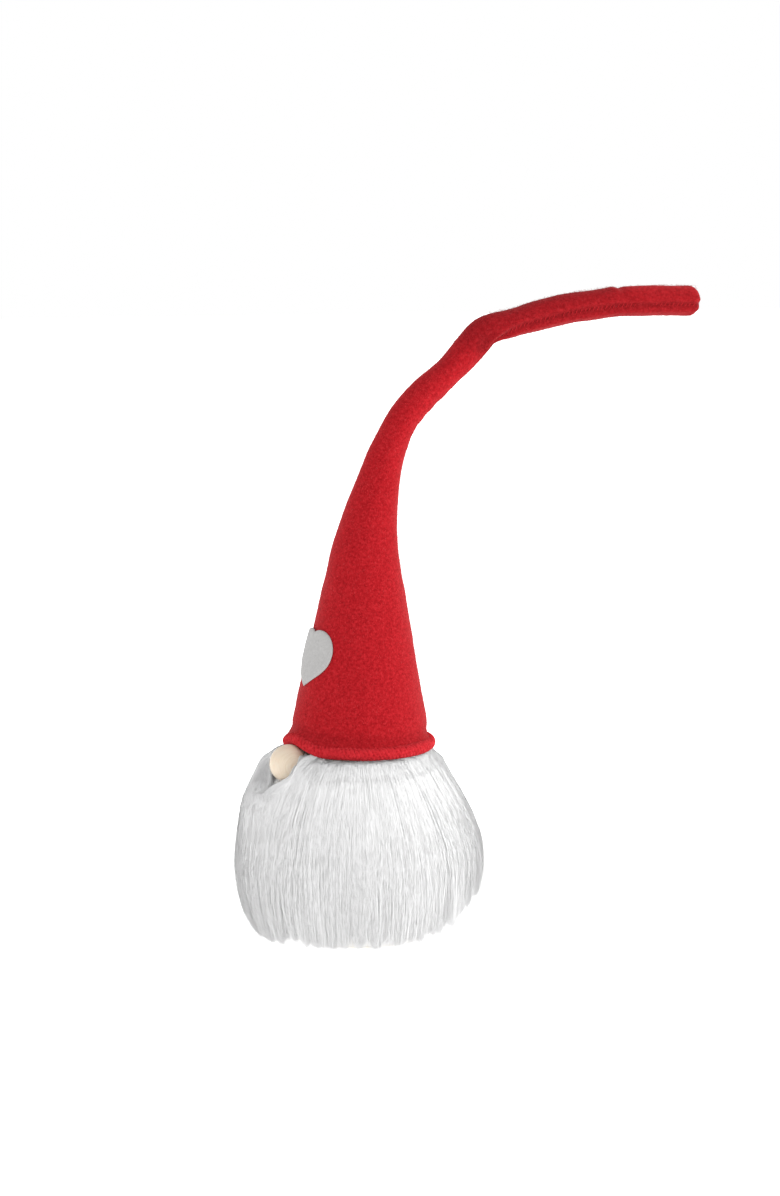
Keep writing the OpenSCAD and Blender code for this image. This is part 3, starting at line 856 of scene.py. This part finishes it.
def on_cone(x, z, off):
    """Puts a flat (x, z) point of the patch against the front of the hat, off from its face.

    The +X half is pressed round the cone; the -X half keeps flatter and stands away.
    """
    foot, top = np.array([BRIM_Y, BRIM_Z]), WAIST
    share = (z - foot[1]) / (top[1] - foot[1])
    y0 = lerp(foot[0], top[0], share)
    r = np.interp(share * np.linalg.norm(top - foot), LINE_AT, LINE_R) + off
    turn = np.maximum(x, HEART_PRESSED_FROM) / r
    flat = np.minimum(x - HEART_PRESSED_FROM, 0)
    away = flat * np.sin(turn) + HEART_STANDS_AWAY * flat**2
    px = r * np.sin(turn) + flat * np.cos(turn)
    return np.stack([px, y0 - r * np.cos(turn) + away, z], -1)


def make_heart():
    outline = heart_outline()
    centre = np.array([0, 0.56 * HEART_H])
    back, front = HEART_BACK, HEART_BACK + HEART_THICK

    def layer(k, off):
        ring = centre + (outline - centre) * k
        return on_cone(ring[:, 0], HEART_Z + ring[:, 1], off)

    # from the middle of the back, round the soft cut edge, to the middle of the front
    softened = [(k, 0.25 * max(0.0, k - 0.9) / 0.08) for k in HEART_RINGS]
    layers = [layer(k, back + edge) for k, edge in softened]
    layers += [layer(0.995, back + 0.45), layer(1.0, (back + front) / 2),
               layer(0.995, front - 0.45)]
    layers += [layer(k, front - edge) for k, edge in reversed(softened)]
    points = np.array(layers)
    lumps = field(points.reshape(-1, 3), 6.0, 2.0).reshape(points.shape[:2])
    points[..., 1] += 0.18 * lumps
    flat = points.reshape(-1, 3)
    hubs = [layer(0.0, off)[:1] for off in (back, front)]
    ring = np.arange(len(outline))
    back_fan = fan(ring, len(flat))
    front_fan = fan(ring + len(flat) - len(outline), len(flat) + 1)[:, [1, 0, 2]]
    faces = [grid_faces(len(layers), len(outline))[:, ::-1], back_fan, front_fan]
    flat = np.concatenate([flat, *hubs])
    heart = piece_from_arrays("felt_heart", flat, faces, [FELT_GREY])
    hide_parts("heart_patch")
    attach(heart, "gnome_body")


def make_nose():
    rows, columns = 64, 96
    v, u = np.meshgrid(np.linspace(0, pi, rows), np.arange(columns) * TURN / columns,
                       indexing="ij")
    ball = np.stack([np.sin(v) * np.cos(u), np.sin(v) * np.sin(u), np.cos(v)], -1)
    faces = grid_faces(rows, columns)[:, ::-1]
    nose = piece_from_arrays("nose", NOSE + NOSE_R * ball, [faces], [BEAD_WOOD])
    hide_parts("nose_bead")
    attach(nose, "gnome_body")


# ---- the fur ----

BACK_LOW, BACK_HIGH = box_mm("fur_backing")
BACK_R_TOP, BACK_R_FOOT, BACK_R_BULGE = 37.8, 46.3, 5.0
FUR_SHADES = [srgb(level, level, level) for level in (238, 237, 239, 236)]
WOOL_WHITE = srgb(244, 244, 244)
# clumps, the strands in each, and the tufts and locks that their tips are drawn together in
CLUMPS, STRANDS, TUFTS, LOCKS = 5200, 13, 72, 88
# the angle from one clump to the next that spreads them evenly
GOLDEN_ANGLE = 2.399963
FUR_GROUPS = 18
# the pile's round shoulder: its length down the pile, its foot and crown, the crown's radius
BRIM_ARC = 20.0
SHOULDER_Z, CROWN_Z = 112.0, 124.8
CROWN_R = 43.0
CROWN_ROUND = 1.4
# how far down the pile the table is
FOOT_Q = BRIM_ARC + SHOULDER_Z
UNDERCOAT_DEPTH = 2.5
STRAND_TAPER = 0.62
NOSE_FUR_R = 0.13
# how far the bead's edge is from the axis
NOSE_EDGE_R = 57
# angle to each side of the nose within which strands part round it
PARTED = 0.6
CHEEK_STRIPS = 4


def backing_radius(z):
    t = (z - BACK_LOW[2]) / (BACK_HIGH[2] - BACK_LOW[2])
    return lerp(BACK_R_FOOT, BACK_R_TOP, t) + BACK_R_BULGE * np.sin(np.clip(t, 0, 1) * pi)


def fur_radius(phi, z):
    """Outer radius of the brushed fur. phi is 0 in front and positive towards +X."""
    heights = [0, 4, 17, 34, 51, 68, 88, 98, 112]
    front = np.interp(z, heights, [66, 68, 73.5, 78.5, 80.5, 79, 76.5, 72.5, 66])
    heights = [0, 20, 31, 42, 54, 68, 78, 90, 105, 112]
    back = np.interp(z, heights, [74, 78, 79, 80, 82, 80, 76, 70, 61.5, 57.5])
    r = lerp(back, front, 0.5 + 0.5 * np.cos(phi))
    # brushed back from the nose under the brim, and over its lower edge further down
    degrees = wrapped_degrees(phi)
    edge = np.interp(z, [98, 104, 112, 119], [8, 17, 22, 30])
    beside = smoothstep(-13, 6, degrees) * (1 - smoothstep(edge - 5, edge + 7, degrees))
    return r - 10.5 * beside * smoothstep(96, 109, z)


def fringe_height(phi):
    """Height of the fur's lower edge, which rises at the back of the +X side."""
    degrees = [-180, -160, -120, -60, -24, 0, 30, 50, 78, 90, 99, 107, 114, 123, 135, 156, 180]
    heights = [26, 16, 5, 3, 4, 3, 2.5, 0.5, 1, 4, 6, 10, 16, 25, 29, 31, 26]
    return np.interp(wrapped_degrees(phi), degrees, heights)


def pile_surface(phi, q, depth=0.0):
    """Radius and height in the pile, q mm down from its top under the brim and depth mm inside."""
    a = np.clip(q / BRIM_ARC, 0, 1) * pi / 2
    z = np.where(q < BRIM_ARC, lerp(SHOULDER_Z, CROWN_Z, np.cos(a) ** CROWN_ROUND),
                 SHOULDER_Z - (q - BRIM_ARC))
    shoulder = fur_radius(phi, np.full_like(z, SHOULDER_Z))
    r = np.where(q < BRIM_ARC, lerp(CROWN_R, shoulder, np.sin(a)), fur_radius(phi, z))
    return r - depth * np.sin(a), z - depth * np.cos(a)


def combed(phi, q, root_q):
    """Angle of a strand q mm down the pile: how the fur has been brushed."""
    degrees = wrapped_degrees(phi)
    side, size = np.sign(degrees), np.abs(degrees)
    fallen = np.clip((q - root_q) / 100.0, 0, 1)
    sweep = np.interp(size, [0, 15, 35, 60, 75, 95, 120, 150, 180],
                      [0, -3, -7, -2, 3, 9, 12, 8, 0])
    turned = phi + np.radians(side * sweep) * np.sin(fallen * pi / 2)
    # drawn over the lower edge of the nose
    turned = turned - np.radians(8) * bump(degrees, 27, 8) * smoothstep(0, 22, q - root_q)
    # locks waved by the brim, strongest at one place
    wave = bump(degrees, 59, 5) * bump(q, 36, 14) * np.sin((36 - q) * TURN / 40)
    return turned + np.radians(2.4) * wave


def round_the_nose(phi, z):
    """Parts the strands to both sides of the bead; they close again under it."""
    rise, apart = z - NOSE[2], phi - NOSE_TURN
    gap = np.clip((NOSE_R + 0.5) ** 2 - rise**2, 0, None) * np.exp(-((apart / 0.5) ** 2))
    reach = np.hypot(NOSE[0], NOSE[1])
    x = reach * np.sin(apart)
    pushed = np.where(x < 0, -np.sqrt(x**2 + 0.35 * gap), np.sqrt(x**2 + 0.4 * gap))
    turned = NOSE_TURN + np.arcsin(np.clip(pushed / reach, -1, 1))
    return np.where(np.cos(apart) > 0.3, turned, phi)


def clear_of_nose(points):
    away = points - NOSE
    near = np.linalg.norm(away, axis=-1, keepdims=True)
    clear = NOSE_R + 0.25
    return np.where(near < clear, NOSE + away * clear / (near + 1e-9), points)


def cells(phi, count):
    """Splits the round into uneven cells.

    Gives each strand's cell, where it lies in the cell, from -1 to 1, and the cell's half width.
    """
    step = TURN / count
    edges = (np.arange(count) + 0.9 * rng.uniform(-0.5, 0.5, count)) * step - pi
    cell = np.searchsorted(edges, phi, "right") - 1
    left = edges[cell % count]
    wide = (edges[(cell + 1) % count] - left) % TURN
    return cell % count, (((phi - left) % TURN) / wide) * 2 - 1, wide / 2


def fur_seeds():
    """What is fixed for each strand of the fur before its path is drawn."""
    count = CLUMPS * STRANDS

    def per_clump(values):
        return np.repeat(values, STRANDS)

    phi = per_clump((np.arange(CLUMPS) * GOLDEN_ANGLE) % TURN - pi)
    each = per_clump(rng.uniform(0, 1, CLUMPS) ** 1.8)
    across, up = rng.normal(0, 1, (2, count))
    root_z = np.clip(BACK_HIGH[2] + 2 - 110 * each + 1.5 * up, 7, BACK_HIGH[2] + 3.0)
    root_q = np.where(root_z > SHOULDER_Z, (BACK_HIGH[2] + 3 - root_z) * 0.6,
                      FOOT_Q - root_z - 16)
    high = smoothstep(92, 110, root_z)
    # the lower a strand is rooted, the deeper it lies in the pile
    deep = lerp(0.95, 0.07, smoothstep(8, 70, root_z))
    layer = lerp(deep, 0.075, high) * rng.uniform(0, 1, count)
    layer = layer + per_clump(rng.uniform(0, 1, CLUMPS)) * lerp(0.04, 0.01, high)
    # tips are drawn together in tufts, longest in the middle, on a fringe that slopes inwards
    tuft, place, half = cells(phi, TUFTS)
    low = fringe_height(phi) * np.interp(layer, [0, 0.24, 0.47, 0.8], [1, 0.86, 0.61, 0.0])
    ragged = 7.0 * np.abs(place) ** 1.4 + rng.normal(-2.0, 2.6, TUFTS)[tuft]
    low = low + (1 - layer) * ragged - 1.5 * layer
    longest = FOOT_Q - np.maximum(low, 0.8)
    # locks: the guard hairs of one lock end together, some of them well above the fringe
    lock, lock_place, lock_half = cells(phi, LOCKS)
    reach = rng.uniform(110, 185, LOCKS)[lock] + rng.normal(0, 5, count)
    short = (1 - layer) * np.abs(rng.normal(0, 3.2, count))
    last = np.clip(np.minimum(root_q + reach, longest) - short, root_q + 9, FOOT_Q - 0.6)
    soft = lerp(9.0, 3.2, high) * rng.uniform(0.8, 1.2, count)
    sway = per_clump(rng.uniform(0, TURN, CLUMPS))
    flick = 3.0 * rng.uniform(0, 1, TUFTS)[tuft] ** 2 + per_clump(rng.uniform(0, 1, CLUMPS))
    stray = 2.8 * (rng.uniform(0, 1, count) < 0.13) * rng.uniform(0, 1, count)
    thick = rng.uniform(0.10, 0.16, count)
    shade = per_clump(rng.integers(0, len(FUR_SHADES), CLUMPS))
    own = rng.uniform(0, 1, count) < 0.5
    shade = np.where(own, rng.integers(0, len(FUR_SHADES), count), shade)
    pull = -0.7 * place * half - 0.28 * lock_place * lock_half * high
    return {"phi": phi, "across": across, "root_z": root_z, "root_q": root_q,
            "layer": layer, "pull": pull, "last": last, "soft": soft,
            "sway": sway, "flick": flick, "stray": stray, "thick": thick, "shade": shade}


def fur_paths(seeds, points):
    """Paths of the strands in seeds, each with so many points, as (strand, point, xyz)."""
    s = {key: values[:, None] for key, values in seeds.items()}
    t = np.linspace(0, 1, points)
    root_q, root_z = s["root_q"], s["root_z"]
    q = root_q + (s["last"] - root_q) * t**1.35
    out = 1 - np.exp(-(q - root_q) / s["soft"])
    # a clump is widest in the middle and drawn together at its tip
    ending = smoothstep(0.45, 1.0, t)
    gather = lerp(1.0, 0.5, ending) * smoothstep(-0.15, 0.25, t)
    turned = combed(s["phi"] + 0 * q, q, root_q)
    turned = turned + (3.2 / 70) * s["across"] * gather
    turned = turned + s["pull"] * ending**2
    turned = turned + np.radians(0.7) * np.sin(s["sway"] + q / 15.0) * t
    turned = round_the_nose(turned, pile_surface(turned, q)[1])
    outer, z = pile_surface(turned, q)
    inner = backing_radius(z)
    r = inner + (outer - inner) * (1 - s["layer"])
    r = r + s["stray"] * t**2 + s["flick"] * np.clip((t - 0.75) / 0.25, 0, 1)
    r = lerp(backing_radius(root_z), r, out)
    return clear_of_nose(round_axis(turned, r, lerp(root_z, z, out))), t


def face_outwards(piece, share):
    """Turns the strands' normals towards the outside of the pile, so that they shade as fur."""
    mesh = piece.data
    points, own = np.empty((2, len(mesh.vertices) * 3), np.float32)
    mesh.vertices.foreach_get("co", points)
    mesh.vertex_normals.foreach_get("vector", own)
    points = points.reshape(-1, 3)
    x, y, z = points.T
    # the pile looks up above its widest place, and down towards its foot
    pile = unit(np.stack([x, y, 0.1 * np.maximum(z - 0.06, 0) - 0.7 * np.maximum(0.045 - z, 0)],
                         -1))
    # round the nose the pile slopes, and its strands keep more of their own shape
    to_nose = np.linalg.norm(points - NOSE * MM, axis=1, keepdims=True)
    share = share * (1 - 0.65 * bump(to_nose, 0.0, 0.016))
    mixed = unit(lerp(own.reshape(-1, 3), pile, share))
    mesh.normals_split_custom_set_from_vertices(mixed.tolist())


def make_undercoat(material):
    """The dense wool of the pile, close under the long guard hairs."""
    rows, columns = 90, 720
    phi = np.arange(columns) * TURN / columns
    lowest = FOOT_Q - fringe_height(phi) - 6
    t = np.linspace(0, 1, rows)[:, None]
    q = lerp(2, lowest, t)
    phi = phi + 0 * q
    near_nose = bump(wrapped_degrees(phi), 5, 26) * bump(q, 24, 22)
    outer, z = pile_surface(phi, q, UNDERCOAT_DEPTH + 1.6 * near_nose)
    inner = backing_radius(z)
    below = ((t - 0.9) / 0.1).clip(0)
    rise = smoothstep(0, 0.08, t)
    full = rise * np.sqrt(np.clip(1 - below**2, 0, 1))
    r = inner + (outer - inner) * full
    # ridges that run down the pile
    ridges = field(round_axis(phi, 60.0, z * 0.24).reshape(-1, 3), 3.0, 4.0).reshape(r.shape)
    r = r + 0.35 * ridges * full
    points = clear_of_nose(round_axis(phi, r, z - 2.5 * (1 - rise)))
    faces = grid_faces(rows, columns)[:, ::-1]
    wool = piece_from_arrays("fur_undercoat", points, [faces], [material])
    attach(wool, "gnome_body")


def nose_fringe(count=2400):
    """Short hairs from behind the bead's edge, which lie down over the pile round it."""
    edge = np.radians(rng.uniform(25, 195, count))[:, None]
    t = np.linspace(0, 1, 12)
    down = rng.uniform(12, 40, count)[:, None] * t**1.2
    z = NOSE[2] - NOSE_R * np.sin(edge) - down
    turned = NOSE_TURN + np.arcsin(NOSE_R * np.cos(edge) / NOSE_EDGE_R)
    turned = turned + 0.02 * rng.normal(size=(count, 1))
    turned = combed(turned + 0 * z, down, 0.0)
    over = np.clip((z - SHOULDER_Z) / (CROWN_Z - SHOULDER_Z), 0, 1) ** (1 / CROWN_ROUND)
    shoulder = fur_radius(turned, np.minimum(z, SHOULDER_Z))
    surface = lerp(CROWN_R, shoulder, np.sqrt(1 - over**2)) - rng.uniform(0, 1.2, (count, 1))
    start = rng.uniform(46, 52, (count, 1)) + 7 * smoothstep(1.6, 2.4, edge)
    r = lerp(start, surface, 1 - np.exp(-down / 5.0))
    return clear_of_nose(round_axis(turned, r, z)), t


def nose_collar(count=4200):
    """Short strands of the pile all round the bead, none of them over it."""
    t = np.linspace(0, 1, 9)
    start = rng.uniform(0, 42, (count, 1))
    q = start + rng.uniform(11, 22, (count, 1)) * t
    turned = combed(NOSE_TURN + rng.uniform(-0.5, 0.5, (count, 1)) + 0 * q, q, start)
    r, z = pile_surface(turned, q)
    r = r - rng.uniform(0.1, 1.6, (count, 1)) - 2.0 * (1 - t) ** 3
    beside, rise = r * np.sin(turned - NOSE_TURN), z - NOSE[2]
    open_way = np.hypot(beside, rise).min(axis=1) > NOSE_R + 0.2
    return round_axis(turned, r, z)[open_way], t


def add_fur(name, paths, t, thickness, materials, shades, share=1.0):
    """One piece of fur, its strands thinning towards their tips."""
    fur = strand_mesh(name, paths, thickness * (1 - STRAND_TAPER * t**2), materials, shades)
    face_outwards(fur, share)
    if name == "fur_01":
        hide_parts("fur_pile")
    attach(fur, "gnome_body")


def make_fur():
    seeds = fur_seeds()
    materials = [plain_material(f"fur_white_{k}", shade, 0.6, Specular_IOR_Level=0.2,
                                Subsurface_Weight=0.15, Subsurface_Scale=0.0004,
                                Subsurface_Radius=(1.0, 1.0, 1.0))
                 for k, shade in enumerate(FUR_SHADES)]
    make_undercoat(plain_material("fur_wool", WOOL_WHITE, 0.8, Specular_IOR_Level=0.1))
    phi = seeds["phi"]
    # the strands that part round the nose need more points than the rest
    parted = (np.abs(phi - NOSE_TURN) < PARTED) & (seeds["root_z"] > 90)
    group = ((phi + pi) / TURN * FUR_GROUPS).astype(int) % FUR_GROUPS
    strip = np.clip(((phi - NOSE_TURN) / PARTED + 1) * CHEEK_STRIPS / 2, 0, CHEEK_STRIPS - 1)
    strip = strip.astype(int)
    sets = [(f"fur_{k + 1:02d}", (group == k) & ~parted, 9) for k in range(FUR_GROUPS)]
    sets += [(f"fur_cheek_{k + 1}", parted & (strip == k), 17) for k in range(CHEEK_STRIPS)]
    for name, mine, points in sets:
        chosen = {key: values[mine] for key, values in seeds.items()}
        paths, t = fur_paths(chosen, points)
        add_fur(name, paths, t, chosen["thick"][:, None], materials, chosen["shade"])
    near_nose = [("fur_nose_fringe", *nose_fringe()), ("fur_nose_collar", *nose_collar())]
    for name, paths, t in near_nose:
        shades = rng.integers(0, len(FUR_SHADES), len(paths))
        add_fur(name, paths, t, NOSE_FUR_R, materials, shades, share=0.7)


# ---- the parts inside, which keep their CAD shapes ----

def dress_inner_nodes():
    cloth = cloth_material("sack_cloth", srgb(232, 224, 206))
    card = mottled_material("grey_card", (0.36, 0.33, 0.29), (0.50, 0.47, 0.42), 2.5, 0.9)
    pellets = mottled_material("plastic_pellets", (0.62, 0.62, 0.60), (0.82, 0.82, 0.80), 4.0, 0.4,
                               0.5)
    cord = mottled_material("tie_cord", (0.55, 0.50, 0.42), (0.74, 0.70, 0.60), 0.8, 0.85, 0.2)
    glue = mottled_material("clear_glue", (0.72, 0.68, 0.56), (0.82, 0.79, 0.70), 3.0, 0.2, 0.05)
    knit = cloth_material("fur_backing_knit", srgb(226, 224, 218), 1.1)
    white_thread = thread_material("thread_white", (0.82, 0.81, 0.79))
    wire = mottled_material("soft_wire", (0.36, 0.37, 0.38), (0.52, 0.53, 0.54), 1.5, 0.35, 0.03,
                            Metallic=1.0)
    looks = {
        cloth: ("base_cover", "ballast_bag", "body_sack"), card: ("foot_card",),
        pellets: ("ballast_pellets",), cord: ("ballast_tie", "sack_tie"),
        FIBRE: ("body_stuffing", "cone_stuffing", "upper_stuffing"),
        glue: ("nose_glue", "heart_glue"), knit: ("fur_backing",),
        white_thread: ("fur_seam_thread",),
        wire: ("cone_wire", "upper_wire", "neck_wire", "tail_wire", "tip_wire"),
    }
    for look, names in looks.items():
        for name in names:
            materials = frame["nodes"][name].data.materials
            materials.clear()
            materials.append(look)


add_camera()
add_key_light()
add_surroundings()
add_floor()
dress_inner_nodes()
make_hat_felt()
make_hat_filling()
make_seam_stitches()
make_fuzz()
make_hem()
make_hem_stitches()
make_heart()
make_nose()
make_fur()
